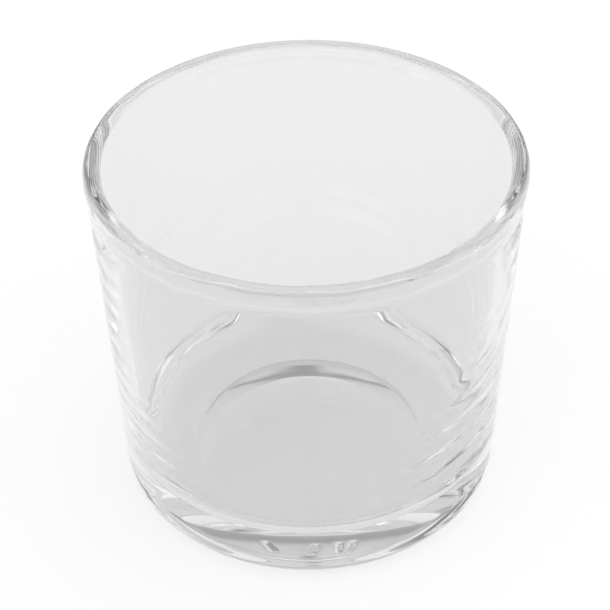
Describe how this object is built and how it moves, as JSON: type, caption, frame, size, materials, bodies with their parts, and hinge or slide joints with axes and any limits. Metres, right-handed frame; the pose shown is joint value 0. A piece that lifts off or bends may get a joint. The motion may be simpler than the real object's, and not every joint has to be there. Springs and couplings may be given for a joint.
{
  "type": "candle jar",
  "caption": "Clear glass candle jar: a gently flared tumbler with a beaded rim, rounded heel, thick flat floor and a domed hollow under the base.",
  "frame": {"origin": "centre of the flat ring that the jar stands on, at the level of the surface under it", "axes": "+Z along the jar's axis, out of its mouth; -Y towards the side with the mould marks under the base; +X to the right of that side"},
  "size_m": [0.08, 0.08, 0.0724],
  "materials": {
    "glass": "clear pressed soda-lime glass, fire-polished rim"
  },
  "bodies": {
    "root": {"glass_jar": "glass"}
  },
  "joints": []
}
